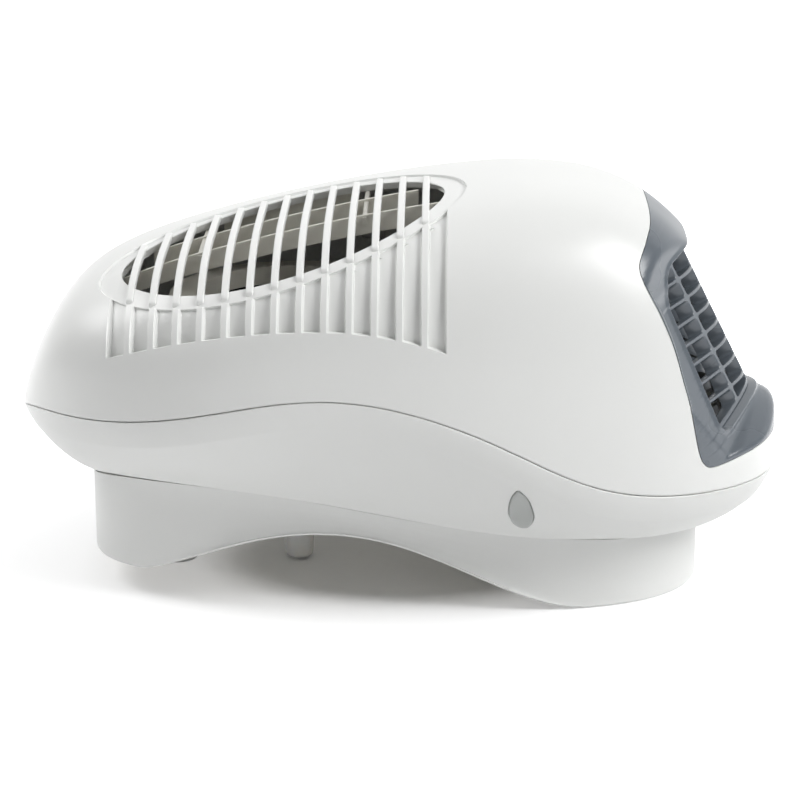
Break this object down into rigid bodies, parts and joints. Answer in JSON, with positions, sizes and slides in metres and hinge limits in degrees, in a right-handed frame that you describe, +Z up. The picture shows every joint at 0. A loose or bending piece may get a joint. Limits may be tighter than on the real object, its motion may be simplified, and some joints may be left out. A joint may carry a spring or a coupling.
{
  "type": "wall fan heater",
  "caption": "Mouse-shaped fan heater with a ribbed intake on top, a grilled outlet nose, an egg-shaped push button, a base and a rear support post.",
  "frame": {"origin": "centre of the bounding box seen from above, at the level of the floor", "axes": "+X towards the outlet grille, +Y across, away from the button side, +Z up; the part lies on its back, as in the picture"},
  "size_m": [0.32, 0.172, 0.1733],
  "materials": {
    "white_case": "satin moulded ABS, white",
    "grey_case": "satin moulded ABS, blue-grey",
    "button_grey": "satin moulded ABS, blue-grey",
    "inner_white": "moulded nylon, natural white",
    "switch_black": "moulded, black",
    "sheet_steel": "zinc-plated sheet",
    "screw_steel": "zinc-plated",
    "wheel_black": "moulded polypropylene, black",
    "aluminium_fin": "mill finish, folded",
    "heater_ceramic": "fired, unglazed",
    "heater_resin": "heat-resistant moulding, beige",
    "brass_part": "plain",
    "bush_bronze": "sintered",
    "shaft_steel": "ground",
    "rubber_black": "moulded",
    "laminated_steel": "stacked sheets",
    "copper_wound": "enamelled winding"
  },
  "bodies": {
    "casing": {"top_cover": "white_case", "intake_guard": "inner_white", "lower_shell": "white_case", "wall_base": "white_case", "back_panel": "inner_white", "outlet_frame": "grey_case", "outlet_grille": "grey_case", "button_guide": "inner_white", "push_switch": "switch_black", "support_post": "white_case", "post_pad": "rubber_black", "cable_gland": "white_case", "gland_nut": "inner_white", "pillars": "inner_white", "base_screws": "screw_steel", "cover_screws": "screw_steel", "terminal_block": "inner_white", "terminal_screws": "brass_part", "cable_clamp": "inner_white", "wiring_screws": "screw_steel", "blower_bowl": "sheet_steel", "blower_cover": "inner_white", "blower_screws": "screw_steel", "motor_stator": "copper_wound", "motor_can": "sheet_steel", "motor_cap": "sheet_steel", "upper_bush": "bush_bronze", "lower_bush": "bush_bronze", "motor_bracket": "sheet_steel", "motor_grommets": "rubber_black", "motor_screws": "screw_steel", "air_duct": "sheet_steel", "heater_frame": "heater_resin", "heater_fins": "aluminium_fin", "heater_ceramics": "heater_ceramic", "heater_terminals": "brass_part", "heater_straps": "sheet_steel", "heater_screws": "screw_steel", "thermal_cutout": "sheet_steel", "thermal_fuse": "screw_steel"},
    "fan": {"fan_wheel": "wheel_black", "wheel_hub": "aluminium_fin", "motor_shaft": "shaft_steel", "motor_rotor": "laminated_steel"},
    "button": {"power_button": "button_grey", "switch_plunger": "inner_white"}
  },
  "joints": [
    {"name": "fan_spin", "type": "hinge", "parent": "casing", "child": "fan", "pos_m": [-0.047, 0, 0.09], "axis": [0, 0, 1], "continuous": true},
    {"name": "button_press", "type": "slide", "parent": "casing", "child": "button", "axis": [0, 0.8757, 0.4828], "range_m": [0, 0.0025], "stiffness_N_per_m": 400, "springref_m": -0.001}
  ]
}
